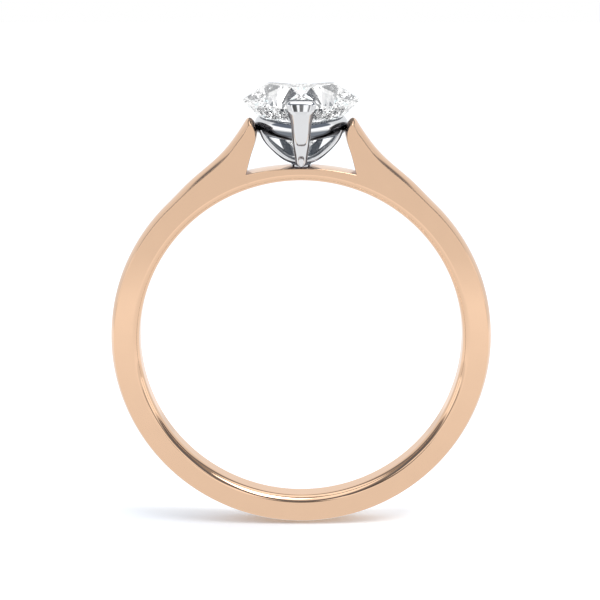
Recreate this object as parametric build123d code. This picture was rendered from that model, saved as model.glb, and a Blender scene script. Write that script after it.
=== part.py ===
from build123d import *
import math
import os

# Two-tone solitaire engagement ring: a heart-cut stone held in a claw basket on a cathedral shank.
#
# Millimetres. The origin is the centre of the finger hole, whose axis is Y. +Z points up through the
# stone, and the heart's point faces -Y. The shank and its bridge are gold; the basket is a paler metal.

# Finger hole and band
BORE_R = 8.25  # finger hole radius, on the flat land in the middle of the band
BAND_W = 1.70  # width of the band along the finger
BAND_R = 9.74  # outer radius, at the top of the band's slight dome
FACE_R = 9.52  # outer radius where the dome meets the flat side faces
COMFORT_RISE = 0.36  # how far the finger hole's rounded rims open outward
COMFORT_RUN = 0.48  # and how far in from each side face the rounding starts
DOME_STEPS = (-1.0, -0.5, 0.0, 0.5, 1.0)  # sections across the band, from one face to the other

# Cathedral shoulder, right-hand side, in the XZ plane: first on the dome's top, then in the side face
SHOULDER_START_DEG = 46.0  # where the shoulder leaves the band's circle, above the X axis
SHOULDER_TOP_LINE = ((5.61, 8.16), (4.66, 8.97), (3.82, 9.78), (3.22, 10.56), (2.84, 11.14), (2.60, 11.36))
SHOULDER_FACE_LINE = ((5.44, 7.97), (4.48, 8.78), (3.63, 9.58), (3.04, 10.36), (2.70, 10.88), (2.52, 11.10))
WINDOW_TOP_LINE = ((2.60, 11.36), (2.30, 11.08), (2.19, 10.66), (2.43, 9.72), (2.74, 8.64))
WINDOW_FACE_LINE = ((2.52, 11.10), (2.34, 10.88), (2.27, 10.50), (2.47, 9.68), (2.76, 8.60))
WINDOW_FOOT_DIRECTION = (0.28, -0.96)  # how the window's side runs down onto the bridge
BRIDGE_TOP_Z = 8.97  # top of the bridge under the basket
BRIDGE_FACE_DROP = 0.05  # how much lower it is in the side faces
JOINT_REACH = 0.998  # the solder joints run from the hole's middle to just short of the window's foot
JOINT_PEAK_RISE = 2.40  # and turn up into the window, toward a peak this far over the bridge

# Stone
GIRDLE_Z = 12.03  # underside of the girdle
GIRDLE_T = 0.12
CROWN_H = 0.82
CROWN_SLOPE = 0.67  # rise over run of the crown's main facets
PAVILION_H = 2.50
CULET_Y = 0.10
LOBE_R = 1.53  # the heart's two lobes are circles of this radius
LOBE_X = 1.42
LOBE_Y = 1.22
CREST_DEG = 70.0  # a spot well round the lobe, through which its arc is drawn
POINT_Y = -3.15
SIDE_R = 7.0  # the slight outward bow of the heart's sides
SIDE_MAINS = (0.32, 0.76)  # where the main facets meet a side, from the point to the lobe
LOBE_MAINS_DEG = (8.0, 50.0, 91.0, 132.0)  # and where they meet a lobe
STAR_SHARE = 0.50  # part of the crown's height below the star facets
LOWER_SHARE = 0.24  # part of the pavilion's depth left below the lower girdle facets
SCALLOPS = 3  # straight steps of the girdle along each facet
SEAT_SCALE = 1.003  # seats are cut this much larger than the stone

# Gallery rail, a smaller heart under the stone's
RAIL_BOTTOM_Z = 10.42
RAIL_H = 0.98
RAIL_OUTER = 0.80  # outside of the rail, as a share of the stone's outline
RAIL_INNER = 0.60
RAIL_ROUND = 0.34  # rounding that gives the rail its bowed face
RAIL_CORNER_R = 0.55  # rounding of the heart's point and cleft

# Cradle, base and peg
CRADLE_W = 1.05
CRADLE_Y = 0.32  # its middle, where the rail is widest
CRADLE_OUTER_LINE = ((2.12, 10.75), (2.00, 10.42), (1.38, 9.64), (0.66, 9.14), (0.0, 9.03))
CRADLE_INNER_LINE = ((1.84, 10.75), (1.66, 10.46), (1.12, 9.88), (0.55, 9.46), (0.0, 9.36))
BASE_R = 0.52
BASE_ROUND = 0.12
BASE_SINK = 0.25  # how far the base's collar is let into the bridge
BASE_TOP_UNDER = 0.12  # base's top below the cradle's inside
PEG_R = 0.38
PEG_SINK = 0.40  # blank length trimmed flush with the finger hole

# Point claw: height, front in Y, depth and half width of each level; the last one is the crease
POINT_CLAW_LEVELS = (
    (9.00, -0.92, 0.46, 0.22),
    (9.41, -1.24, 0.52, 0.31),
    (9.80, -1.62, 0.50, 0.37),
    (10.28, -2.14, 0.54, 0.43),
    (10.72, -2.50, 0.58, 0.46),
    (11.36, -2.92, 0.64, 0.51),
    (11.89, -3.30, 0.86, 0.61),
)
POINT_CLAW_CAP = (12.52, -3.38, 0.98, 0.73)  # its top, the same way, above the crease
POINT_CLAW_ROUND = 0.17  # rounding of the cap's top rim
CLAW_CORNER_SHARE = 0.55  # corner radius of the claws' sections, as a share of their smaller half side

# Lobe claws: height, middle in X, middle in Y, half width, half depth
LOBE_CLAW_LEVELS = (
    (9.12, 0.40, 0.58, 0.22, 0.22),
    (9.90, 0.76, 1.32, 0.30, 0.24),
    (10.90, 1.08, 2.16, 0.36, 0.25),
    (11.70, 1.24, 2.70, 0.41, 0.30),
    (12.25, 1.28, 2.80, 0.44, 0.38),
    (12.60, 1.27, 2.68, 0.40, 0.38),
    (12.76, 1.26, 2.58, 0.26, 0.24),
)


def in_xz(x, z, y=0.0):
    """A point named by its X and Z."""
    return Vector(x, y, z)


def between(start, end, share):
    """The point a given share of the way between two coordinate pairs."""
    return tuple(a + (b - a) * share for a, b in zip(start, end))


def mirrored(line):
    """A line of coordinate pairs mirrored in the ring's middle, and walked the other way."""
    return [(-x, z) for x, z in reversed(line)]


def flipped(p):
    """A level vector mirrored in the ring's middle."""
    return Vector(-p.X, p.Y)


def flipped_run(run):
    """A run of outline points mirrored in the ring's middle, and walked the other way."""
    return [flipped(p) for p in reversed(run)]


def curve_through(line, y, leave, arrive):
    """A smooth curve through XZ pairs, with its directions at both ends."""
    return Spline([in_xz(x, z, y) for x, z in line], tangents=(leave, arrive))


def band_section(step):
    """The gold part's closed outline at one step across the band."""
    y = step * BAND_W / 2
    drop = step * step
    radius = BAND_R + (FACE_R - BAND_R) * drop
    angle = math.radians(SHOULDER_START_DEG)
    start = (radius * math.cos(angle), radius * math.sin(angle))
    leave = in_xz(-math.sin(angle), math.cos(angle))
    arrive = in_xz(-math.sin(angle), -math.cos(angle))
    level = in_xz(-1, 0)
    foot_x, foot_z = WINDOW_FOOT_DIRECTION
    outside = [start] + [between(a, b, drop) for a, b in zip(SHOULDER_TOP_LINE, SHOULDER_FACE_LINE)]
    window = [between(a, b, drop) for a, b in zip(WINDOW_TOP_LINE, WINDOW_FACE_LINE)]
    corner_x, corner_z = window[-1]
    bridge_z = BRIDGE_TOP_Z - BRIDGE_FACE_DROP * drop
    right_start = in_xz(*start, y)
    left_start = in_xz(-start[0], start[1], y)
    bottom = in_xz(0, -radius, y)
    curves = [
        curve_through(outside, y, leave, level),
        curve_through(window, y, level, in_xz(foot_x, foot_z)),
        ThreePointArc(in_xz(corner_x, corner_z, y), in_xz(0, bridge_z, y), in_xz(-corner_x, corner_z, y)),
        curve_through(mirrored(window), y, in_xz(foot_x, -foot_z), level),
        curve_through(mirrored(outside), y, level, arrive),
        ThreePointArc(left_start, in_xz(-radius, 0, y), bottom),
        ThreePointArc(bottom, in_xz(radius, 0, y), right_start),
    ]
    return Wire([curve.edge() for curve in curves])


def finger_hole():
    """The round hole as a cutter, opened out in a smooth quarter ellipse at each rim."""
    face_y = BAND_W / 2
    land_y = face_y - COMFORT_RUN
    rim_r = BORE_R + COMFORT_RISE
    front_rim = EllipticalCenterArc((rim_r, -land_y), COMFORT_RISE, COMFORT_RUN, 180, arc_size=90)
    back_rim = EllipticalCenterArc((rim_r, land_y), COMFORT_RISE, COMFORT_RUN, 90, arc_size=90)
    outside = Polyline(
        (rim_r, -face_y), (rim_r, -BAND_W), (0, -BAND_W), (0, BAND_W), (rim_r, BAND_W), (rim_r, face_y),
    )
    land = Line((BORE_R, land_y), (BORE_R, -land_y))
    profile = make_face([*outside.edges(), back_rim.edge(), land.edge(), front_rim.edge()])
    return revolve(profile, Axis.Y)


def gold_body():
    """Shank, shoulders and bridge in one, with the finger hole cut through."""
    blank = Solid.make_loft([band_section(step) for step in DOME_STEPS])
    return blank - finger_hole()


def split_gold():
    """The gold body parted into the shank and the bridge, along the solder joints at the window's foot."""
    body = gold_body()
    corner_x, corner_z = (v * JOINT_REACH for v in WINDOW_FACE_LINE[-1])
    peak = in_xz(0, BRIDGE_TOP_Z + JOINT_PEAK_RISE)
    wedge = Polyline(in_xz(0, 0), in_xz(corner_x, corner_z), peak, in_xz(-corner_x, corner_z), close=True)
    cutter = extrude(make_face(wedge), BAND_W, dir=(0, 1, 0), both=True)
    return body - cutter, body & cutter


def side_circle():
    """Centre of the right-hand side's bow, and its angles at the point and where it meets the lobe."""
    lobe = Vector(LOBE_X, LOBE_Y)
    point = Vector(0, POINT_Y)
    apart = lobe - point
    to_lobe = SIDE_R - LOBE_R
    along = (SIDE_R ** 2 - to_lobe ** 2 + apart.length ** 2) / (2 * apart.length)
    aside = math.sqrt(SIDE_R ** 2 - along ** 2)
    unit = apart.normalized()
    centre = point + unit * along + Vector(-unit.Y, unit.X) * aside
    at_point = point - centre
    at_lobe = lobe - centre
    return centre, math.atan2(at_point.Y, at_point.X), math.atan2(at_lobe.Y, at_lobe.X)


def on_side(share):
    """A point a share of the way up the heart's right-hand side, and the outward normal there."""
    centre, low, high = side_circle()
    angle = low + (high - low) * share
    normal = Vector(math.cos(angle), math.sin(angle))
    return centre + normal * SIDE_R, normal


def on_lobe(degrees):
    """A point round the heart's right-hand lobe, and the outward normal there."""
    normal = Vector(math.cos(math.radians(degrees)), math.sin(math.radians(degrees)))
    return Vector(LOBE_X, LOBE_Y) + normal * LOBE_R, normal


def cleft_deg():
    """Angle round the right-hand lobe at which it meets the left-hand one."""
    return math.degrees(math.acos(-LOBE_X / LOBE_R))


def heart_face(size, corner_r=0.0):
    """The heart's outline as a flat face at z = 0, at a share of the stone's size."""
    tip = Vector(0, POINT_Y)
    middle = on_side(0.5)[0]
    join = on_side(1.0)[0]
    crest = on_lobe(CREST_DEG)[0]
    cleft = on_lobe(cleft_deg())[0]
    arcs = [
        (tip, middle, join), (join, crest, cleft), (cleft, flipped(crest), flipped(join)),
        (flipped(join), flipped(middle), tip),
    ]
    face = Face(Wire([ThreePointArc(a * size, b * size, c * size).edge() for a, b, c in arcs]))
    if corner_r:
        corners = [v for v in face.vertices() if abs(v.X) < 1e-4]
        face = face.fillet_2d(corner_r, corners)
    return face


def gem_corners():
    """Main facet contacts round the girdle, and the outline points between each one and the next."""
    spots = [("side", s) for s in SIDE_MAINS] + [("lobe", a) for a in LOBE_MAINS_DEG]
    right = [on_side(v) if kind == "side" else on_lobe(v) for kind, v in spots]
    left = [(flipped(p), flipped(n)) for p, n in reversed(right)]
    mains = right + left
    gaps = []
    for (kind_a, a), (kind_b, b) in zip(spots, spots[1:]):
        gaps.append(outline_run(kind_a, a, kind_b, b))
    last_lobe = LOBE_MAINS_DEG[-1]
    over_cleft = [on_lobe(last_lobe)[0], on_lobe(cleft_deg())[0]]
    over_tip = [on_side(SIDE_MAINS[0] * i / SCALLOPS)[0] for i in range(SCALLOPS + 1)]
    cleft_run = over_cleft + flipped_run(over_cleft)[1:]
    tip_run = flipped_run(over_tip) + over_tip[1:]
    return mains, gaps + [cleft_run] + [flipped_run(run) for run in reversed(gaps)] + [tip_run]


def outline_run(kind_a, a, kind_b, b):
    """Outline points from one contact to the next, an even number of steps apart."""
    steps = 2 * SCALLOPS
    if kind_a == kind_b:
        pick = on_side if kind_a == "side" else on_lobe
        return [pick(a + (b - a) * i / steps)[0] for i in range(steps + 1)]
    low = [on_side(a + (1 - a) * i / SCALLOPS)[0] for i in range(SCALLOPS + 1)]
    first_lobe = math.degrees(side_circle()[2])
    high = [on_lobe(first_lobe + (b - first_lobe) * i / SCALLOPS)[0] for i in range(SCALLOPS + 1)]
    return low + high[1:]


def meet(normal_a, offset_a, normal_b, offset_b):
    """Where two lines of a level plane cross, each given by its normal and its distance."""
    det = normal_a.X * normal_b.Y - normal_a.Y * normal_b.X
    x = (offset_a * normal_b.Y - offset_b * normal_a.Y) / det
    y = (normal_a.X * offset_b - normal_b.X * offset_a) / det
    return Vector(x, y)


def lift(p, z):
    return Vector(p.X, p.Y, z)


def on_plane(p, a, b, c):
    """The point above or below p that lies in the plane through a, b and c."""
    normal = (b - a).cross(c - a)
    return Vector(p.X, p.Y, a.Z - (normal.X * (p.X - a.X) + normal.Y * (p.Y - a.Y)) / normal.Z)


def facet(points):
    return Face(Wire.make_polygon(points, close=True))


def stone():
    """The heart-cut stone: flat facets all round, closed by a scalloped girdle."""
    mains, runs = gem_corners()
    count = len(mains)
    top_z = GIRDLE_Z + GIRDLE_T
    table_z = top_z + CROWN_H
    star_z = top_z + CROWN_H * STAR_SHARE
    culet = Vector(0, CULET_Y, GIRDLE_Z - PAVILION_H)
    inset_star = CROWN_H * STAR_SHARE / CROWN_SLOPE
    inset_table = CROWN_H / CROWN_SLOPE
    star_tips = []
    table_meets = []
    lower_tips = []
    for (point_a, normal_a), (point_b, normal_b) in zip(mains, mains[1:] + mains[:1]):
        reach_a = point_a.dot(normal_a)
        reach_b = point_b.dot(normal_b)
        star_tips.append(lift(meet(normal_a, reach_a - inset_star, normal_b, reach_b - inset_star), star_z))
        table_meets.append(meet(normal_a, reach_a - inset_table, normal_b, reach_b - inset_table))
        corner = lift(meet(normal_a, reach_a, normal_b, reach_b), GIRDLE_Z)
        lower_tips.append(culet + (corner - culet) * LOWER_SHARE)
    table = [lift((table_meets[i - 1] + table_meets[i]) / 2, table_z) for i in range(count)]
    faces = [facet(table)]
    for i in range(count):
        after = (i + 1) % count
        crown_a = lift(mains[i][0], top_z)
        base_a = lift(mains[i][0], GIRDLE_Z)
        faces.append(facet([table[i], star_tips[i - 1], crown_a, star_tips[i]]))
        faces.append(facet([table[i], star_tips[i], table[after]]))
        faces.append(facet([culet, lower_tips[i], base_a, lower_tips[i - 1]]))
        faces += girdle_facets(runs[i], mains[i][0], mains[after][0], star_tips[i], lower_tips[i])
    return Solid(Shell(faces))


def girdle_facets(run, main_a, main_b, star_tip, lower_tip):
    """The half facets above and below the girdle between two mains, and the girdle's own steps."""
    top_z = GIRDLE_Z + GIRDLE_T
    middle = run[len(run) // 2]
    upper = []
    lower = []
    faces = []
    for half, main in ((run[: len(run) // 2 + 1], main_a), (run[len(run) // 2:], main_b)):
        high = [on_plane(p, star_tip, lift(main, top_z), lift(middle, top_z)) for p in half]
        low = [on_plane(p, lower_tip, lift(main, GIRDLE_Z), lift(middle, GIRDLE_Z)) for p in half]
        faces.append(facet([star_tip, *high]))
        faces.append(facet([lower_tip, *low]))
        upper.append(high)
        lower.append(low)
    for high, low in zip(upper, lower):
        for i in range(len(high) - 1):
            faces.append(facet([low[i], low[i + 1], high[i + 1], high[i]]))
    return faces


def seat_cutter(gem):
    """The stone a hair larger about its girdle's level, to cut seats that don't touch it."""
    return Pos(0, 0, GIRDLE_Z * (1 - SEAT_SCALE)) * scale(gem, by=SEAT_SCALE)


def gallery_rail():
    """A bowed rail in the shape of a smaller heart."""
    outer = extrude(heart_face(RAIL_OUTER, RAIL_CORNER_R), RAIL_H)
    rims = outer.edges().filter_by(lambda e: abs(e.center().Z - RAIL_H / 2) > RAIL_H / 2 - 1e-3)
    bowed = fillet(rims, RAIL_ROUND)
    return Pos(0, 0, RAIL_BOTTOM_Z) * (bowed - extrude(heart_face(RAIL_INNER, RAIL_CORNER_R / 2), RAIL_H))


def arch(line):
    """A smooth arch through a right-hand line of XZ pairs and its mirror image, in the cradle's middle."""
    pairs = line + tuple(mirrored(line))[1:]
    return Spline([in_xz(x, z, CRADLE_Y) for x, z in pairs])


def cradle():
    """The U-shaped strap that carries the rail from the base."""
    outer = arch(CRADLE_OUTER_LINE)
    inner = arch(CRADLE_INNER_LINE)
    ends = [Line(outer @ 0, inner @ 0), Line(outer @ 1, inner @ 1)]
    profile = make_face([curve.edge() for curve in (outer, inner, *ends)])
    return extrude(profile, CRADLE_W / 2, dir=(0, 1, 0), both=True)


def base_and_peg():
    """The round base on the bridge, with the peg that goes down through the bridge."""
    peg_foot = BORE_R - PEG_SINK
    base_foot = BRIDGE_TOP_Z - BASE_SINK
    base_top = CRADLE_INNER_LINE[-1][1] - BASE_TOP_UNDER
    base = Pos(0, 0, (base_foot + base_top) / 2) * Cylinder(BASE_R, base_top - base_foot)
    base = fillet(base.edges().group_by(Axis.Z)[-1], BASE_ROUND)
    peg = Pos(0, 0, (peg_foot + base_top) / 2) * Cylinder(PEG_R, base_top - peg_foot)
    return base + peg - Rot(90, 0, 0) * Cylinder(BORE_R, 2 * BAND_W)


def claw_section(x, y, z, half_width, half_depth):
    """One level outline of a claw, with rounded corners."""
    corner = min(half_width, half_depth) * CLAW_CORNER_SHARE
    frame = Plane(origin=(x, y, z), x_dir=(1, 0, 0), z_dir=(0, 0, 1))
    return (frame * RectangleRounded(2 * half_width, 2 * half_depth, corner)).face().outer_wire()


def point_claw():
    """The claw over the heart's point: a tapering shaft, a crease, and an upright cap with a rounded rim."""
    levels = [*POINT_CLAW_LEVELS, POINT_CLAW_CAP]
    sections = [claw_section(0, front + depth / 2, z, half, depth / 2) for z, front, depth, half in levels]
    shaft = Solid.make_loft(sections[:-1])
    cap = Solid.make_loft(sections[-2:], ruled=True)
    rim = cap.edges().filter_by(lambda e: e.center().Z > POINT_CLAW_CAP[0] - 1e-3)
    return shaft + fillet(rim, POINT_CLAW_ROUND)


def lobe_claw():
    """The right-hand claw over a lobe, leaning in to the base."""
    return Solid.make_loft([claw_section(x, y, z, half, deep) for z, x, y, half, deep in LOBE_CLAW_LEVELS])


def export(name, shape):
    """Write one sub-part as its own file."""
    solids = shape.solids()
    assert len(solids) == 1, f"{name} is {len(solids)} solids"
    solid = solids[0]
    solid.label = name
    export_step(solid, f"parts/{name}.step")


def main():
    os.makedirs("parts", exist_ok=True)
    gem = stone()
    seat = seat_cutter(gem)
    point = point_claw() - seat
    right = lobe_claw() - seat
    left = right.mirror(Plane.YZ)
    claws = point + right + left
    rail = gallery_rail() - seat - claws
    strap = cradle() - rail - claws
    base = base_and_peg() - strap - claws
    shank, bridge = split_gold()
    export("shank", shank - rail)
    export("bridge", bridge - base)
    export("head_base_peg", base)
    export("cradle", strap)
    export("gallery_rail", rail)
    export("v_claw", point)
    export("lobe_claw_right", right)
    export("lobe_claw_left", left)
    export("heart_diamond", gem)


main()
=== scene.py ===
import math
import bmesh
import bpy
import numpy as np
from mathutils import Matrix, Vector

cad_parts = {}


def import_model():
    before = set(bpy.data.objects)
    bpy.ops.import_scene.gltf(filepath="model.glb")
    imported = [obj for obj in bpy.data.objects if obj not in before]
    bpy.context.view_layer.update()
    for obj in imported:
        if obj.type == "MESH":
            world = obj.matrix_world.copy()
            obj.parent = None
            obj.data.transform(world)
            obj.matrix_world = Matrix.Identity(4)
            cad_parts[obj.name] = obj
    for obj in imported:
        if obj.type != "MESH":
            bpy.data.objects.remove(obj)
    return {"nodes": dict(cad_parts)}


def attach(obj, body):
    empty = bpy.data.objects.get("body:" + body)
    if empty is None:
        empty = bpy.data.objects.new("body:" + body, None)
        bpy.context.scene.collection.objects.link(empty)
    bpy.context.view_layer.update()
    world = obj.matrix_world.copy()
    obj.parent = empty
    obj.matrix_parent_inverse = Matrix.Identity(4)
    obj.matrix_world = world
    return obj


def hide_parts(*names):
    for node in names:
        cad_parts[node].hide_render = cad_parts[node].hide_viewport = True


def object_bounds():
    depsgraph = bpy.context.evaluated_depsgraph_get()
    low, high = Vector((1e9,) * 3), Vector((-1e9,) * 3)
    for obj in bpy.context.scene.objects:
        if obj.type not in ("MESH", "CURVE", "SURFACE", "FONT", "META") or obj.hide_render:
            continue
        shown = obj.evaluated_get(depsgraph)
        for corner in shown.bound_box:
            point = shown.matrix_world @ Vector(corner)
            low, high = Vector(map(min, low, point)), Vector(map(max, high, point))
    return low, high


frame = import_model()
CAD_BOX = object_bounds()

MM = 0.001
WELD = 1e-8  # vertices nearer than this, in metres, become one

# Band and shoulders, in millimetres, as in the frame
BORE_R = 8.25
HALF_W = 0.85  # half the band's width
BAND_R = 9.74
FACE_R = 9.52
COMFORT_RISE = 0.36
COMFORT_RUN = 0.48
EDGE = 0.045  # the tiny bevel a polished edge keeps
SHOULDER_START = math.radians(46.0)
SHOULDER_TOP = ((5.61, 8.16), (4.66, 8.97), (3.82, 9.78), (3.22, 10.56), (2.84, 11.14), (2.60, 11.36))
SHOULDER_FACE = ((5.44, 7.97), (4.48, 8.78), (3.63, 9.58), (3.04, 10.36), (2.70, 10.88), (2.52, 11.10))
WINDOW_TOP = ((2.60, 11.36), (2.30, 11.08), (2.19, 10.66), (2.43, 9.72), (2.74, 8.64))
WINDOW_FACE = ((2.52, 11.10), (2.34, 10.88), (2.27, 10.50), (2.47, 9.68), (2.76, 8.60))
WINDOW_FOOT_DIRECTION = (0.28, -0.96)
BRIDGE_TOP_Z = 8.97
BRIDGE_FACE_DROP = 0.05
ARC_STEPS = 400
SHOULDER_STEPS = 90
WINDOW_STEPS = 70
BRIDGE_STEPS = 60
DOME_STEPS = 10
BEVEL_STEPS = 4
RIM_STEPS = 14
BORE_STEPS = 480
SAME_PLACE = 1e-4  # sections nearer than this across the band become one
GOLD_SHARP_DEG = 30

# Stone's outline: two lobes, and sides that bow slightly
LOBE_R = 1.53
LOBE_X = 1.42
LOBE_Y = 1.22
POINT_Y = -3.15
SIDE_R = 7.0
GIRDLE_Z = 12.03
SEAT_SCALE = 1.003

# Gallery rail
RAIL_BOTTOM_Z = 10.42
RAIL_H = 0.98
RAIL_OUTER = 0.80
RAIL_INNER = 0.60
RAIL_ROUND = 0.40
RAIL_CORNER_R = 0.55
RAIL_EDGE = 0.03
RAIL_SIDE_STEPS = 70
RAIL_LOBE_STEPS = 90
RAIL_CORNER_STEPS = 24
RAIL_BOW_STEPS = 24
RAIL_SHARP_DEG = 35

# Cradle and base
CRADLE_HALF_W = 0.525
CRADLE_Y = 0.32
CRADLE_OUTER = ((2.12, 10.75), (2.00, 10.42), (1.38, 9.64), (0.66, 9.14), (0.0, 9.03))
CRADLE_INNER = ((1.84, 10.75), (1.66, 10.46), (1.12, 9.88), (0.55, 9.46), (0.0, 9.36))
CRADLE_STEPS = 80
CRADLE_CORNER_SHARE = 0.85
BASE_R = 0.52
BASE_ROUND = 0.10
BASE_TOP_Z = 9.10
BASE_SINK = 0.3  # how far the base reaches into the bridge
BASE_ROUND_STEPS = 8
BASE_TURN_STEPS = 64
BASE_SHARP_DEG = 30

# Point claw: height, front in Y, depth and half width of each level, up to the crease
POINT_CLAW_LEVELS = (
    (9.01, -0.92, 0.46, 0.30),
    (9.41, -1.24, 0.52, 0.31),
    (9.80, -1.62, 0.50, 0.37),
    (10.28, -2.14, 0.54, 0.43),
    (10.72, -2.50, 0.58, 0.46),
    (11.36, -2.92, 0.64, 0.51),
    (11.89, -3.30, 0.86, 0.61),
)
POINT_CLAW_TOP = (12.52, -3.22, 0.80, 0.79)
CAP_RIM_H = 0.22
CAP_RIM_SIDE = 0.30
CAP_RIM_FRONT = 0.18
CLAW_FOOT_R = 0.28
SHAFT_CORNER_SHARE = 0.62
SHAFT_BULGE = 0.07
CAP_CORNER_R = 0.26
CAP_BULGE = 0.10
CLAW_BACK_R = 0.08
CAP_CHANGE_RATE = 3  # the cap's corners and bow change from the shaft's in its lowest third
CORNER_STEPS = 10
BIG_FACE = 12  # a face with this many corners or more is a flat end
CARVED_SHARP_DEG = 22
ROUND_SHARP_DEG = 40
FRONT_STEPS = 16
CAP_STEPS = 9

# Lobe claws: height, middle in X, middle in Y, half width and half depth of each level
LOBE_CLAW_LEVELS = (
    (9.12, 0.40, 0.58, 0.22, 0.22),
    (9.90, 0.76, 1.32, 0.30, 0.24),
    (10.90, 1.08, 2.16, 0.36, 0.25),
    (11.70, 1.24, 2.70, 0.41, 0.30),
    (12.25, 1.28, 2.80, 0.44, 0.38),
    (12.76, 1.26, 2.62, 0.38, 0.36),
)
LOBE_CLAW_RIM = 0.18
LOBE_CORNER_SHARE = 0.6
CLAW_STEPS = 90
RIM_ROUND_STEPS = 10

# Camera: from the heart's point, a little above the finger hole
CAMERA_RANGE = 90 * MM
CAMERA_ELEVATION = math.radians(13.9)
CAMERA_AIM = Vector((-0.06 * MM, 0, 2.03 * MM))
CAMERA_LENS = 105.2
CAMERA_CLIP = (5 * MM, 5.0)

# Studio as the metal sees it, low down: from the front (0) round to the back (1)
FRONT_TO_BACK = (
    (0.00, 0.42), (0.14, 1.15), (0.19, 1.15), (0.23, 0.34), (0.31, 0.42), (0.37, 1.25),
    (0.62, 1.25), (0.68, 0.80), (0.80, 0.90), (1.00, 0.97),
)

# The same right in front, as upright stripes from the left (0) to the right (1)
FRONT_FADE = (0.13, 0.12)
FRONT_STRIPES = (
    (0.00, 1.0), (0.31, 1.0), (0.34, 0.08), (0.41, 0.14), (0.425, 1.15), (0.46, 1.15), (0.475, 0.18),
    (0.535, 0.26), (0.55, 1.2), (0.62, 1.2), (0.65, 0.3), (1.00, 0.3),
)

# Height at which the overhead part starts, from front to back, and its brightness by height
OVERHEAD_START = (
    (0.0, 0.34), (0.20, 0.34), (0.40, 0.22), (0.63, 0.24),
    (0.67, 0.50), (0.80, 0.50), (0.95, 0.60), (1.0, 0.66),
)
OVERHEAD_FADE = 0.08
OVERHEAD = (
    (0.0, (0.14, 0.16, 0.19)), (0.60, (0.16, 0.18, 0.22)), (0.74, 0.40), (0.80, 1.25), (1.0, 1.35),
)
SOFT_LIGHT = (0.86, 0.89, 0.93, 1)  # the studio as matt surfaces see it

# Studio as it's seen through the stone: low down, from front to back, and higher up, by height
STONE_AROUND = (
    (0.0, 0.9), (0.05, 0.9), (0.08, 1.5), (0.20, (1.2, 1.55, 1.6)), (0.30, 1.5), (0.43, 1.5), (0.46, 0.3),
    (0.485, 0.3), (0.51, 1.5), (0.75, 1.5), (0.80, (1.6, 1.55, 1.3)), (0.86, 1.5), (1.0, 1.5),
)
STONE_ABOVE = (
    (0.0, 1.5), (0.52, 1.5), (0.545, 0.25), (0.575, 0.25), (0.60, (1.2, 1.5, 1.55)), (0.68, 1.5), (1.0, 1.5),
)
STONE_ABOVE_FADE = (0.34, 0.46)

# Floor: a soft shade under the ring, by distance from its middle (0) to its edge (1)
FLOOR_Z = CAD_BOX[0].z
FLOOR_HALF = 400 * MM
FLOOR_TINT = (0.84, 0.85, 0.86, 1)
SHADE_X = -5.0
SHADE_Y = -1.7
SHADE_HALF_X = 10.5
SHADE_HALF_Y = 4.2
FLOOR_SHADE = (
    (0.0, (0.94, 0.97, 1.01)), (0.55, (0.99, 1.02, 1.06)), (0.80, (1.10, 1.13, 1.16)),
    (1.0, (1.22, 1.24, 1.26)),
)

# The floor's brightness in the metal, by distance from under the ring (0) out to its reach (1)
FLOOR_REACH = 100 * MM
FLOOR_IN_METAL = (
    (0.0, 1.2), (0.035, 1.15), (0.06, 0.88), (0.10, 0.90), (0.38, 1.0),
    (0.55, 1.08), (0.73, 0.89), (0.85, 0.87), (1.0, 0.86),
)

# Key lamp
KEY_PLACE = (30 * MM, -30 * MM, 90 * MM)
KEY_SIZE = 60 * MM
KEY_WATTS = 0.045

# Shade of the rail by how its face leans, from straight down (0) to upright (1)
RAIL_SHADE = (
    (0.0, 0.8), (0.18, 0.6), (0.30, (0.27, 0.29, 0.32)), (0.85, (0.21, 0.23, 0.26)),
    (0.93, (0.32, 0.34, 0.37)), (1.0, 1.0),
)

# Metals: tint, gloss, painted reflections for how they look in the stone and in other metal, and painted
# shade in narrow gaps
TINT_RANGE = (0.975, 1.02)
TINT_NOISE = 900.0
GLOSS_RANGE = (0.7, 1.35)
GLOSS_NOISE = 260.0
HEAD_FADE = (3 * MM, 6 * MM)  # heights between which a metal starts to count as near the head
FAR_REFLECTION = 2.05 * BORE_R * MM  # metal farther off than this is seen from across the ring
# Painted reflection: the colour a metal takes in other metal low on the band
LOW_IN_METAL = (0.95, 0.82, 0.70, 1)
# Painted shade in narrow gaps near the head: how far to look for nearby surfaces, and the openness over which
# it fades
CREVICE_SHADE_REACH = 0.8 * MM
CREVICE_SHADE_RANGE = (0.05, 0.60)
# Each metal: its own colour and roughness; in_stone and in_metal are painted reflections; the crevice colour
# is painted shade, red-brown in gold as a painted reflection too
GOLD = {
    "colour": (0.87, 0.59, 0.405), "roughness": 0.06, "in_stone": (0.80, 0.78, 0.77),
    "in_metal": (0.28, 0.25, 0.245), "crevice_shade": (0.42, 0.15, 0.07),
}
WHITE = {
    "colour": (0.82, 0.83, 0.85), "roughness": 0.05, "in_stone": (0.85, 0.86, 0.88),
    "in_metal": (0.40, 0.42, 0.45), "crevice_shade": (0.24, 0.28, 0.33),
}
# The rail's copy of the white metal: painted shade by how its faces lean, and lighter painted shade in narrow
# gaps
SHADED_RAIL_WHITE = {**WHITE, "crevice_shade": (0.60, 0.66, 0.72), "lean_shade": RAIL_SHADE}

# Stone
DIAMOND_IOR = 2.417
# Painted dark reflection: the stone's colour as the metal sees it, and how much of the stone it replaces
STONE_IN_METAL = (0.05, 0.06, 0.075, 1)
STONE_PAINTED_DARK_SHARE = 0.8
LIGHT_BOUNCES = 24


# --- Shapes -----------------------------------------------------------------------------------

def link(obj):
    """An object put into the scene."""
    bpy.context.collection.objects.link(obj)
    return obj


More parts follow.
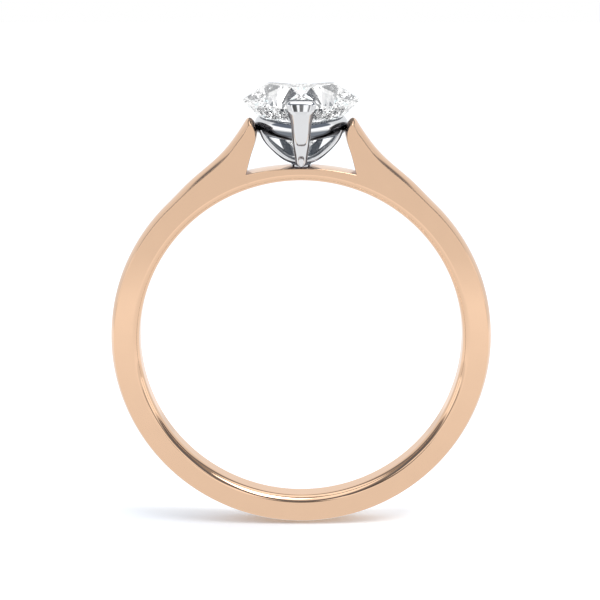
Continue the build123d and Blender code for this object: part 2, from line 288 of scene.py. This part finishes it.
def smooth_line(points, leave, arrive, steps):
    """Points along the smooth curve through some points, with its directions at both ends."""
    p = np.array(points, float)
    gaps = np.linalg.norm(np.diff(p, axis=0), axis=1)
    n = len(p)
    left, right = np.zeros((n, n)), np.zeros((n, p.shape[1]))
    left[0, 0] = left[-1, -1] = 1
    right[0] = np.array(leave) / np.linalg.norm(leave)
    right[-1] = np.array(arrive) / np.linalg.norm(arrive)
    for i in range(1, n - 1):
        before, after = gaps[i - 1], gaps[i]
        left[i, i - 1 : i + 2] = after, 2 * (before + after), before
        right[i] = 3 * (after / before * (p[i] - p[i - 1]) + before / after * (p[i + 1] - p[i]))
    slopes = np.linalg.solve(left, right)
    places = np.concatenate([[0], np.cumsum(gaps)])
    at = np.linspace(0, places[-1], steps + 1)
    piece = np.clip(np.searchsorted(places, at, side="right") - 1, 0, n - 2)
    h = gaps[piece][:, None]
    t = ((at - places[piece]) / gaps[piece])[:, None]
    a, b = p[piece], p[piece + 1]
    ma, mb = slopes[piece] * h, slopes[piece + 1] * h
    start = (2 * t**3 - 3 * t**2 + 1) * a + (t**3 - 2 * t**2 + t) * ma
    return start + (3 * t**2 - 2 * t**3) * b + (t**3 - t**2) * mb


def arc(centre, radius, start, end, steps):
    """Points along a circle between two angles."""
    angles = np.linspace(start, end, steps + 1)
    return np.array(centre) + radius * np.stack([np.cos(angles), np.sin(angles)], axis=1)


def dropped(top, face, drop):
    """A line a share of the way from the dome's top to the side face."""
    return [tuple(a + (b - a) * drop) for a, b in zip(np.array(top), np.array(face))]


def mirrored_run(run):
    """A run of points on the ring's other side, walked the other way, without its last point."""
    return (run[::-1] * (-1, 1))[:-1]


def gold_outline(drop):
    """The gold part's closed XZ outline, from the dome's top (0) to the side face (1)."""
    radius = BAND_R + (FACE_R - BAND_R) * drop
    start = (radius * math.cos(SHOULDER_START), radius * math.sin(SHOULDER_START))
    leave = (-math.sin(SHOULDER_START), math.cos(SHOULDER_START))
    shoulder = [start] + dropped(SHOULDER_TOP, SHOULDER_FACE, drop)
    window = dropped(WINDOW_TOP, WINDOW_FACE, drop)
    up = smooth_line(shoulder, leave, (-1, 0), SHOULDER_STEPS)
    down = smooth_line(window, (-1, 0), WINDOW_FOOT_DIRECTION, WINDOW_STEPS)
    foot_x, foot_z = window[-1]
    sag = BRIDGE_TOP_Z - BRIDGE_FACE_DROP * drop - foot_z
    bridge_r = (foot_x**2 + sag**2) / (2 * sag)
    lean = math.asin(foot_x / bridge_r)
    middle_z = foot_z + sag - bridge_r
    bridge = arc((0, middle_z), bridge_r, math.pi / 2 - lean, math.pi / 2 + lean, BRIDGE_STEPS)
    bottom = arc((0, 0), radius, math.pi - SHOULDER_START, 2 * math.pi + SHOULDER_START, ARC_STEPS)
    right = np.concatenate([up[:-1], down[:-1]])
    left = np.concatenate([mirrored_run(down), mirrored_run(up)])
    return np.concatenate([right, bridge[:-1], left, bottom[:-1]])


def pulled_in(outline, distance):
    """An anticlockwise outline moved inward, square to itself."""
    ahead = np.roll(outline, -1, axis=0) - outline
    behind = outline - np.roll(outline, 1, axis=0)
    ahead /= np.linalg.norm(ahead, axis=1)[:, None]
    behind /= np.linalg.norm(behind, axis=1)[:, None]
    run = ahead + behind
    run /= np.linalg.norm(run, axis=1)[:, None]
    return outline + np.stack([-run[:, 1], run[:, 0]], axis=1) * distance


def quarter(past, run):
    """Drop of a quarter round of unit height, a distance past its start."""
    return 1 - math.sqrt(1 - min(max(past / run, 0), 1) ** 2)


def gold_section(y):
    """Outside outline and finger hole radius at one place across the band."""
    inner = HALF_W - EDGE
    outline = gold_outline((min(abs(y), inner) / HALF_W) ** 2)
    if abs(y) > inner:
        outline = pulled_in(outline, EDGE * quarter(abs(y) - inner, EDGE))
    return outline, BORE_R + COMFORT_RISE * quarter(abs(y) - HALF_W + COMFORT_RUN, COMFORT_RUN)


def gold_steps():
    """Places across the band for its dome, its comfort rims and its edge bevels."""
    inner, land = HALF_W - EDGE, HALF_W - COMFORT_RUN
    dome = [inner * i / DOME_STEPS for i in range(DOME_STEPS + 1)]
    rim = [land + COMFORT_RUN * math.sin(math.pi / 2 * i / RIM_STEPS) for i in range(RIM_STEPS + 1)]
    bevel = [inner + EDGE * math.sin(math.pi / 2 * i / BEVEL_STEPS) for i in range(1, BEVEL_STEPS + 1)]
    half = sorted({round(y, 6) for y in dome + rim + bevel})
    kept = [y for i, y in enumerate(half) if i == 0 or y - half[i - 1] > SAME_PLACE]
    return [-y for y in reversed(kept[1:])] + kept


def shank_or_bridge(name, is_bridge):
    """One gold piece: its outside, its radial solder joints and its part of the finger hole."""
    right_foot = SHOULDER_STEPS + WINDOW_STEPS
    left_foot = right_foot + BRIDGE_STEPS
    rings = []
    for y in gold_steps():
        outline, hole_r = gold_section(y)
        if is_bridge:
            outside = outline[right_foot : left_foot + 1]
        else:
            outside = np.concatenate([outline[left_foot:], outline[: right_foot + 1]])
        start, end = (math.atan2(outside[i][1], outside[i][0]) for i in (-1, 0))
        steps = BRIDGE_STEPS if is_bridge else BORE_STEPS
        hole = arc((0, 0), hole_r, start, end if is_bridge else end - 2 * math.pi, steps)
        rings.append([(x, y, z) for x, z in np.concatenate([outside, hole])])
    return mesh_piece(name, rings_to_mesh(rings), GOLD_SHARP_DEG)


def gold_pieces():
    """The gold pieces, by the frame node that each one stands for."""
    return {name: shank_or_bridge(name + "_gold", name == "bridge") for name in ("shank", "bridge")}


def skin(bm, rings):
    """Quads between closed rings of vertices that all have the same count."""
    for low, high in zip(rings, rings[1:]):
        for i in range(len(low)):
            k = (i + 1) % len(low)
            bm.faces.new((low[i], low[k], high[k], high[i]))


def side_circle(size):
    """Centre and radius of the heart's right-hand side bow, at a share of the stone's size."""
    lobe, point = np.array((LOBE_X, LOBE_Y)) * size, np.array((0.0, POINT_Y)) * size
    bow, reach = SIDE_R * size, (SIDE_R - LOBE_R) * size
    apart = lobe - point
    length = np.linalg.norm(apart)
    along = (bow**2 - reach**2 + length**2) / (2 * length)
    unit = apart / length
    return point + unit * along + np.array((-unit[1], unit[0])) * math.sqrt(bow**2 - along**2), bow


def heart_outline(size, corner):
    """The heart's XY outline, anticlockwise from its point, with the point and the cleft rounded."""
    side, bow = side_circle(size)
    lobe, lobe_r = np.array((LOBE_X, LOBE_Y)) * size, LOBE_R * size
    point_y = side[1] - math.sqrt((bow - corner) ** 2 - side[0] ** 2)
    cleft_y = lobe[1] + math.sqrt((lobe_r + corner) ** 2 - lobe[0] ** 2)
    low = math.atan2(point_y - side[1], -side[0])
    join = math.atan2(lobe[1] - side[1], lobe[0] - side[0])
    cleft = math.atan2(cleft_y - lobe[1], -lobe[0])
    right = np.concatenate([
        arc((0, point_y), corner, -math.pi / 2, low, RAIL_CORNER_STEPS)[:-1],
        arc(side, bow, low, join, RAIL_SIDE_STEPS)[:-1],
        arc(lobe, lobe_r, join, cleft, RAIL_LOBE_STEPS)[:-1],
        arc((0, cleft_y), corner, cleft - math.pi, -math.pi / 2, RAIL_CORNER_STEPS),
    ])
    return np.concatenate([right, (right[1:-1] * (-1, 1))[::-1]])


def mark_sharp(bm, sharp_deg):
    """Smooth shading on all but the big flat faces, broken where faces meet at a sharp angle."""
    for face in bm.faces:
        face.smooth = len(face.verts) < BIG_FACE
    for edge in bm.edges:
        edge.smooth = edge.calc_face_angle(0) < math.radians(sharp_deg)


def mesh_piece(name, bm, sharp_deg):
    """A linked object made from a bmesh."""
    bmesh.ops.remove_doubles(bm, verts=bm.verts[:], dist=WELD)
    bmesh.ops.recalc_face_normals(bm, faces=bm.faces[:])
    mark_sharp(bm, sharp_deg)
    mesh = bpy.data.meshes.new(name)
    bm.to_mesh(mesh)
    bm.free()
    return link(bpy.data.objects.new(name, mesh))


def rings_to_mesh(rings, ring_closed=False):
    """A closed mesh through closed rings of points in millimetres: capped at its ends, or joined up."""
    bm = bmesh.new()
    made = [[bm.verts.new(Vector(p) * MM) for p in ring] for ring in rings]
    if ring_closed:
        skin(bm, [*made, made[0]])
        return bm
    skin(bm, made)
    bm.faces.new(made[0])
    bm.faces.new(made[-1][::-1])
    return bm


def level(points, z):
    """A flat outline at a height."""
    return [(x, y, z) for x, y in points]


def rail():
    """The gallery rail: a bowed outside, a flat inside, and softened edges between."""
    outer = heart_outline(RAIL_OUTER, RAIL_CORNER_R)
    inner = heart_outline(RAIL_INNER, RAIL_CORNER_R / 2)
    top = RAIL_BOTTOM_Z + RAIL_H
    rings = []
    for i in range(RAIL_BOW_STEPS + 1):
        turn = math.pi * i / RAIL_BOW_STEPS - math.pi / 2
        z = RAIL_BOTTOM_Z + RAIL_H / 2 * (1 + math.sin(turn))
        rings.append(level(pulled_in(outer, RAIL_ROUND * (1 - math.cos(turn))), z))
    rings.append(level(pulled_in(inner, -RAIL_EDGE), top))
    rings.append(level(inner, top - RAIL_EDGE))
    rings.append(level(inner, RAIL_BOTTOM_Z + RAIL_EDGE))
    rings.append(level(pulled_in(inner, -RAIL_EDGE), RAIL_BOTTOM_Z))
    return mesh_piece("rail_metal", rings_to_mesh(rings, True), RAIL_SHARP_DEG)


def rounded_box(x, front, back, half, front_r, back_r, bulge=0.0):
    """A level outline with rounded corners and a bowed front, anticlockwise from the front left."""
    corners = (
        (-1, front + front_r, front_r, math.pi), (1, front + front_r, front_r, -math.pi / 2),
        (1, back - back_r, back_r, 0.0), (-1, back - back_r, back_r, math.pi / 2),
    )
    runs = [
        arc((side * (half - r), y), r, start, start + math.pi / 2, CORNER_STEPS)
        for side, y, r, start in corners
    ]
    flat = half - front_r
    across = np.linspace(-flat, flat, FRONT_STEPS + 1)[1:-1]
    runs.insert(1, np.stack([across, np.full(len(across), front)], axis=1))
    outline = np.concatenate(runs)
    depth = np.clip((back - outline[:, 1]) / (back - front), 0, 1)
    outline[:, 1] -= bulge * (1 - (outline[:, 0] / half) ** 2) * depth
    outline[:, 0] += x
    return outline


def smooth_levels(levels, steps):
    """Level settings at even steps along the smooth curve through the given ones."""
    p = np.array(levels, float)
    return smooth_line(p, p[1] - p[0], p[-1] - p[-2], steps)


def point_claw():
    """The claw over the heart's point: rounded shaft, crease, and a cap with a rounded rim."""
    rings = []
    foot_z = POINT_CLAW_LEVELS[0][0]
    for z, front, depth, half in smooth_levels(POINT_CLAW_LEVELS, CLAW_STEPS):
        half -= CLAW_FOOT_R * quarter(foot_z + CLAW_FOOT_R - z, CLAW_FOOT_R)
        corner = half * SHAFT_CORNER_SHARE
        outline = rounded_box(0, front, front + depth, half, corner, CLAW_BACK_R, SHAFT_BULGE)
        rings.append(level(outline, z))
    low, high = np.array(POINT_CLAW_LEVELS[-1]), np.array(POINT_CLAW_TOP)
    wall = 1 - CAP_RIM_H / (high[0] - low[0])
    for i in range(1, CAP_STEPS + 1):
        z, front, depth, half = low + (high - low) * wall * i / CAP_STEPS
        change = min(1, CAP_CHANGE_RATE * i / CAP_STEPS)
        shaft_corner = half * SHAFT_CORNER_SHARE
        corner = shaft_corner + (CAP_CORNER_R - shaft_corner) * change
        bulge = SHAFT_BULGE + (CAP_BULGE - SHAFT_BULGE) * change
        rings.append(level(rounded_box(0, front, front + depth, half, corner, CLAW_BACK_R, bulge), z))
    for i in range(1, RIM_ROUND_STEPS + 1):
        turn = math.pi / 2 * i / RIM_ROUND_STEPS
        share = 1 - math.cos(turn)
        outline = rounded_box(
            0, front + CAP_RIM_FRONT * share, front + depth, half - CAP_RIM_SIDE * share,
            CAP_CORNER_R - CAP_RIM_FRONT * share, CLAW_BACK_R, CAP_BULGE * (1 - share / 2),
        )
        rings.append(level(outline, z + CAP_RIM_H * math.sin(turn)))
    return mesh_piece("point_claw_metal", rings_to_mesh(rings), CARVED_SHARP_DEG)


def lobe_claw(side):
    """A claw over a lobe, rounded at its head."""
    rings = []
    rim, top = LOBE_CLAW_RIM, LOBE_CLAW_LEVELS[-1][0]
    for z, x, y, half, painted_reflection in smooth_levels(LOBE_CLAW_LEVELS, CLAW_STEPS):
        inset = 0.0
        if z > top - rim:
            inset = rim - math.sqrt(max(rim**2 - (z - top + rim) ** 2, 0))
        half, painted_reflection = half - inset, painted_reflection - inset
        corner = min(half, painted_reflection) * LOBE_CORNER_SHARE
        outline = rounded_box(x, y - painted_reflection, y + painted_reflection, half, corner, corner) * (side, 1)
        rings.append(level(outline[::side], z))
    name = "lobe_claw_right_metal" if side > 0 else "lobe_claw_left_metal"
    return mesh_piece(name, rings_to_mesh(rings), ROUND_SHARP_DEG)


def cradle():
    """The U-shaped strap under the rail: a rounded section swept between its inner and outer lines."""
    runs = []
    for line in (CRADLE_INNER, CRADLE_OUTER):
        whole = [*line, *[(-x, z) for x, z in line[-2::-1]]]
        leave = np.subtract(line[1], line[0])
        runs.append(smooth_line(whole, leave, leave * (1, -1), CRADLE_STEPS))
    rings = []
    for inner, outer in zip(*runs):
        middle, across = (inner + outer) / 2, (outer - inner) / 2
        half = np.linalg.norm(across)
        corner = half * CRADLE_CORNER_SHARE
        section = rounded_box(0, -CRADLE_HALF_W, CRADLE_HALF_W, half, corner, corner)
        across /= half
        spots = [(middle + across * a, CRADLE_Y + y) for a, y in section]
        rings.append([(place[0], y, place[1]) for place, y in spots])
    return mesh_piece("cradle_metal", rings_to_mesh(rings), ROUND_SHARP_DEG)


def base():
    """The round base between the bridge and the cradle."""
    heights = [(BRIDGE_TOP_Z - BASE_SINK, BASE_R)]
    for i in range(BASE_ROUND_STEPS + 1):
        turn = math.pi / 2 * i / BASE_ROUND_STEPS
        z = BASE_TOP_Z - BASE_ROUND * (1 - math.sin(turn))
        heights.append((z, BASE_R - BASE_ROUND * (1 - math.cos(turn))))
    rings = [level(arc((0, 0), r, 0, 2 * math.pi, BASE_TURN_STEPS)[:-1], z) for z, r in heights]
    return mesh_piece("base_metal", rings_to_mesh(rings), BASE_SHARP_DEG)


def carve(piece, cutter):
    """Cuts the cutter's space out of a piece, for good."""
    cut = piece.modifiers.new("seat", "BOOLEAN")
    cut.operation, cut.solver, cut.object = "DIFFERENCE", "EXACT", cutter
    done = bpy.data.meshes.new_from_object(piece.evaluated_get(bpy.context.evaluated_depsgraph_get()))
    bm = bmesh.new()
    bm.from_mesh(done)
    mark_sharp(bm, CARVED_SHARP_DEG)
    bm.to_mesh(done)
    bm.free()
    piece.modifiers.clear()
    piece.data = done


def seat_cutter():
    """The stone a hair larger, for cutting the claws' seats."""
    mesh = frame["nodes"]["heart_diamond"].data.copy()
    middle = Vector((0, 0, GIRDLE_Z * MM))
    for v in mesh.vertices:
        v.co = middle + (v.co - middle) * SEAT_SCALE
    cutter = link(bpy.data.objects.new("cutter", mesh))
    bm = bmesh.new()
    bm.from_mesh(mesh)
    bmesh.ops.remove_doubles(bm, verts=bm.verts[:], dist=WELD)
    bm.to_mesh(mesh)
    bm.free()
    return cutter


def basket():
    """All the white metal pieces, by the frame node that each one stands for."""
    made = {
        "gallery_rail": rail(), "v_claw": point_claw(), "lobe_claw_right": lobe_claw(1),
        "lobe_claw_left": lobe_claw(-1), "cradle": cradle(), "head_base_peg": base(),
    }
    cutter = seat_cutter()
    for name in ("gallery_rail", "v_claw", "lobe_claw_right", "lobe_claw_left"):
        carve(made[name], cutter)
    bpy.data.objects.remove(cutter)
    return made


# --- Materials --------------------------------------------------------------------------------

def shader_tree(owner):
    """A cleared node tree with its output node."""
    owner.use_nodes = True
    tree = owner.node_tree
    tree.nodes.clear()
    kind = "ShaderNodeOutputWorld" if isinstance(owner, bpy.types.World) else "ShaderNodeOutputMaterial"
    return tree, tree.nodes.new(kind)


def new_node(tree, kind, **settings):
    """A node with its attributes and, for names that aren't attributes, its inputs set or linked."""
    made = tree.nodes.new(kind)
    for name, value in settings.items():
        if hasattr(made, name):
            setattr(made, name, value)
            continue
        key = int(name[1:]) if name.startswith("i") and name[1:].isdigit() else name.replace("_", " ")
        if isinstance(value, bpy.types.NodeSocket):
            tree.links.new(value, made.inputs[key])
        else:
            made.inputs[key].default_value = value
    return made


def maths(tree, operation, first, second=0.0):
    """The result of one sum on two values."""
    return new_node(tree, "ShaderNodeMath", operation=operation, i0=first, i1=second).outputs[0]


def ramp(tree, place, stops):
    """A colour ramp through (position, level or colour) stops."""
    made = new_node(tree, "ShaderNodeValToRGB", Fac=place)
    elements = made.color_ramp.elements
    while len(elements) > 1:
        elements.remove(elements[0])
    for i, (at, value) in enumerate(stops):
        stop = elements.new(at) if i else elements[0]
        stop.position = at
        stop.color = (*value, 1) if isinstance(value, tuple) else (value, value, value, 1)
    return made.outputs[0]


def blend(tree, share, first, second):
    """Two colours mixed by a share."""
    made = new_node(tree, "ShaderNodeMix", data_type="RGBA")
    for socket, value in ((0, share), (6, first), (7, second)):
        if isinstance(value, bpy.types.NodeSocket):
            tree.links.new(value, made.inputs[socket])
        else:
            made.inputs[socket].default_value = value
    return made.outputs[2]


def metal(name, colour, roughness, in_stone, in_metal, crevice_shade, lean_shade=None):
    """A polished metal with faint changes of tint and gloss.

    Seen through the stone it's painted paler, and in other metal it's painted darker near the head or from
    across the ring, as painted reflections. Narrow gaps near the head get painted shade. A lean shade darkens
    faces by how far they look down.
    """
    material = bpy.data.materials.new(name)
    tree, out = shader_tree(material)
    place = new_node(tree, "ShaderNodeTexCoord").outputs["Object"]
    haze = new_node(tree, "ShaderNodeTexNoise", Vector=place, Scale=GLOSS_NOISE, Detail=3.0).outputs["Fac"]
    cloud = new_node(tree, "ShaderNodeTexNoise", Vector=place, Scale=TINT_NOISE, Detail=2.0).outputs["Fac"]
    matt, shiny = (roughness * share for share in reversed(GLOSS_RANGE))
    gloss = new_node(tree, "ShaderNodeMapRange", Value=haze, To_Min=shiny, To_Max=matt)
    low, high = ([v * share for v in colour] for share in TINT_RANGE)
    plain = blend(tree, cloud, (*low, 1), (*high, 1))
    height = new_node(tree, "ShaderNodeSeparateXYZ", Vector=place).outputs["Z"]
    low_z, high_z = HEAD_FADE
    near_head = new_node(tree, "ShaderNodeMapRange", Value=height, From_Min=low_z, From_Max=high_z)
    rays = new_node(tree, "ShaderNodeLightPath").outputs
    is_far = maths(tree, "GREATER_THAN", rays["Ray Length"], FAR_REFLECTION)
    dark_reflection_mask = maths(tree, "MAXIMUM", near_head.outputs[0], is_far)
    painted_reflection = blend(tree, dark_reflection_mask, LOW_IN_METAL, (*in_metal, 1))
    # Painted shade: narrow gaps near the head take the crevice colour
    open_sky = new_node(tree, "ShaderNodeAmbientOcclusion", samples=8, Distance=CREVICE_SHADE_REACH).outputs["AO"]
    closed, clear_of = CREVICE_SHADE_RANGE
    open_share = new_node(tree, "ShaderNodeMapRange", Value=open_sky, From_Min=closed, From_Max=clear_of)
    shaded = blend(tree, open_share.outputs[0], (*crevice_shade, 1), plain)
    plain = blend(tree, near_head.outputs[0], plain, shaded)
    # Painted shade by how far the face looks down
    if lean_shade:
        normal = new_node(tree, "ShaderNodeNewGeometry").outputs["Normal"]
        lean = new_node(tree, "ShaderNodeSeparateXYZ", Vector=normal).outputs["Z"]
        upright = new_node(tree, "ShaderNodeMapRange", Value=lean, From_Min=-1.0, From_Max=0.0).outputs[0]
        shade = ramp(tree, upright, lean_shade)
        plain = new_node(tree, "ShaderNodeVectorMath", operation="MULTIPLY", i0=plain, i1=shade).outputs[0]
    # Painted reflections: the metal's colour changes where it's seen in other metal or through the stone
    tint = blend(tree, rays["Is Glossy Ray"], plain, painted_reflection)
    tint = blend(tree, rays["Is Transmission Ray"], tint, (*in_stone, 1))
    shader = new_node(
        tree, "ShaderNodeBsdfPrincipled",
        Base_Color=tint, Metallic=1.0, Roughness=gloss.outputs[0],
    )
    tree.links.new(shader.outputs[0], out.inputs["Surface"])
    return material


def gem():
    """Clear stone with the bending power of diamond; where the metal reflects it, it's partly a painted dark
    reflection.
    """
    material = bpy.data.materials.new("diamond")
    tree, out = shader_tree(material)
    glass = new_node(tree, "ShaderNodeBsdfGlass", Color=(1, 1, 1, 1), Roughness=0.0, IOR=DIAMOND_IOR)
    dark = new_node(tree, "ShaderNodeEmission", Color=STONE_IN_METAL)
    reflected = new_node(tree, "ShaderNodeLightPath").outputs["Is Glossy Ray"]
    inside = new_node(tree, "ShaderNodeNewGeometry").outputs["Backfacing"]
    share = maths(tree, "MULTIPLY", maths(tree, "SUBTRACT", reflected, inside), STONE_PAINTED_DARK_SHARE)
    mixed = new_node(tree, "ShaderNodeMixShader", i0=share, i1=glass.outputs[0], i2=dark.outputs[0])
    tree.links.new(mixed.outputs[0], out.inputs["Surface"])
    return material


# --- Studio -----------------------------------------------------------------------------------

def world():
    """White to the camera; to the metal, a studio of soft boxes with darker gaps between them."""
    sky = bpy.data.worlds.new("studio")
    bpy.context.scene.world = sky
    tree, out = shader_tree(sky)
    way = new_node(tree, "ShaderNodeTexCoord").outputs["Generated"]
    parts = new_node(tree, "ShaderNodeSeparateXYZ", Vector=way)
    x, y, z = (parts.outputs[name] for name in "XYZ")
    front = maths(tree, "MULTIPLY", y, -1.0)
    turn = maths(tree, "DIVIDE", maths(tree, "ARCTAN2", maths(tree, "ABSOLUTE", x), front), math.pi)
    aside = new_node(tree, "ShaderNodeMapRange", Value=x, From_Min=-1.0, From_Max=1.0)
    stripes = ramp(tree, aside.outputs[0], FRONT_STRIPES)
    around = ramp(tree, turn, FRONT_TO_BACK)
    past, inside = FRONT_FADE
    is_front = new_node(tree, "ShaderNodeMapRange", Value=turn, From_Min=past, From_Max=inside)
    low = blend(tree, is_front.outputs[0], around, stripes)
    over = maths(tree, "SUBTRACT", z, ramp(tree, turn, OVERHEAD_START))
    high = new_node(tree, "ShaderNodeMapRange", Value=over, From_Min=0.0, From_Max=OVERHEAD_FADE)
    studio = blend(tree, high.outputs[0], low, ramp(tree, z, OVERHEAD))
    rays = new_node(tree, "ShaderNodeLightPath").outputs
    gentle = blend(tree, rays["Is Diffuse Ray"], studio, SOFT_LIGHT)
    shown = blend(tree, rays["Is Camera Ray"], gentle, (1, 1, 1, 1))
    starts, ends = STONE_ABOVE_FADE
    is_high = new_node(tree, "ShaderNodeMapRange", Value=z, From_Min=starts, From_Max=ends)
    around_stone = blend(tree, is_high.outputs[0], ramp(tree, turn, STONE_AROUND), ramp(tree, z, STONE_ABOVE))
    sparkle = blend(tree, rays["Is Transmission Ray"], shown, around_stone)
    light = new_node(tree, "ShaderNodeBackground", Color=sparkle, Strength=1.0)
    tree.links.new(light.outputs[0], out.inputs["Surface"])


def floor():
    """A pale floor with a soft cool shade under the ring, and a brightness of its own in the metal."""
    size = FLOOR_HALF
    mesh = bpy.data.meshes.new("floor")
    corners = [(x, y, FLOOR_Z) for x, y in ((-size, -size), (size, -size), (size, size), (-size, size))]
    mesh.from_pydata(corners, [], [(0, 1, 2, 3)])
    plane = link(bpy.data.objects.new("floor", mesh))
    material = bpy.data.materials.new("floor")
    tree, out = shader_tree(material)
    place = new_node(tree, "ShaderNodeTexCoord").outputs["Object"]
    spot = new_node(tree, "ShaderNodeMapping", Vector=place)
    spot.inputs["Location"].default_value = (-SHADE_X / SHADE_HALF_X, -SHADE_Y / SHADE_HALF_Y, 0)
    spot.inputs["Scale"].default_value = (1 / (SHADE_HALF_X * MM), 1 / (SHADE_HALF_Y * MM), 0)
    reach = new_node(tree, "ShaderNodeVectorMath", operation="LENGTH", i0=spot.outputs[0]).outputs["Value"]
    shade = ramp(tree, reach, FLOOR_SHADE)
    rays = new_node(tree, "ShaderNodeLightPath").outputs
    tint = blend(tree, rays["Is Camera Ray"], FLOOR_TINT, shade)
    matt = new_node(tree, "ShaderNodeBsdfDiffuse", Color=tint)
    away = new_node(tree, "ShaderNodeVectorMath", operation="LENGTH", i0=place).outputs["Value"]
    far = new_node(tree, "ShaderNodeMapRange", Value=away, From_Max=FLOOR_REACH).outputs[0]
    glow = new_node(tree, "ShaderNodeEmission", Color=ramp(tree, far, FLOOR_IN_METAL))
    reflected = rays["Is Glossy Ray"]
    shader = new_node(tree, "ShaderNodeMixShader", i0=reflected, i1=matt.outputs[0], i2=glow.outputs[0])
    tree.links.new(shader.outputs[0], out.inputs["Surface"])
    mesh.materials.append(material)


def lamp(name, place, target, size, power):
    """A square soft lamp that points at a target."""
    light = bpy.data.lights.new(name, "AREA")
    light.size = size
    light.energy = power
    made = link(bpy.data.objects.new(name, light))
    made.location = place
    made.rotation_euler = (Vector(target) - Vector(place)).to_track_quat("-Z", "Y").to_euler()


def camera():
    """The scene's camera, looking at the ring's middle from the front."""
    data = bpy.data.cameras.new("camera")
    data.lens = CAMERA_LENS
    data.clip_start, data.clip_end = CAMERA_CLIP
    made = link(bpy.data.objects.new("camera", data))
    back = Vector((0, -math.cos(CAMERA_ELEVATION), math.sin(CAMERA_ELEVATION)))
    made.location = back * CAMERA_RANGE + Vector((CAMERA_AIM.x, 0, 0))
    made.rotation_euler = (CAMERA_AIM - made.location).to_track_quat("-Z", "Y").to_euler()
    bpy.context.scene.camera = made


# --- Scene ------------------------------------------------------------------------------------

gold = metal("rose_gold", **GOLD)
white = metal("white_metal", **WHITE)
shaded_rail_white = metal("rail_metal", **SHADED_RAIL_WHITE)
clear = gem()
for pieces, finish, slot in ((gold_pieces(), gold, "rose_gold"), (basket(), white, "white_metal")):
    for name, piece in pieces.items():
        piece.data.materials.clear()
        piece.data.materials.append(shaded_rail_white if name == "gallery_rail" else finish)
        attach(piece, "root")
        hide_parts(name)
stone = frame["nodes"]["heart_diamond"]
stone.data.materials.clear()
stone.data.materials.append(clear)

world()
floor()
lamp("key", KEY_PLACE, (0, 0, 0), KEY_SIZE, KEY_WATTS)
camera()
bpy.context.scene.view_settings.view_transform = "Standard"
for kind in ("max_bounces", "transmission_bounces", "glossy_bounces"):
    setattr(bpy.context.scene.cycles, kind, LIGHT_BOUNCES)
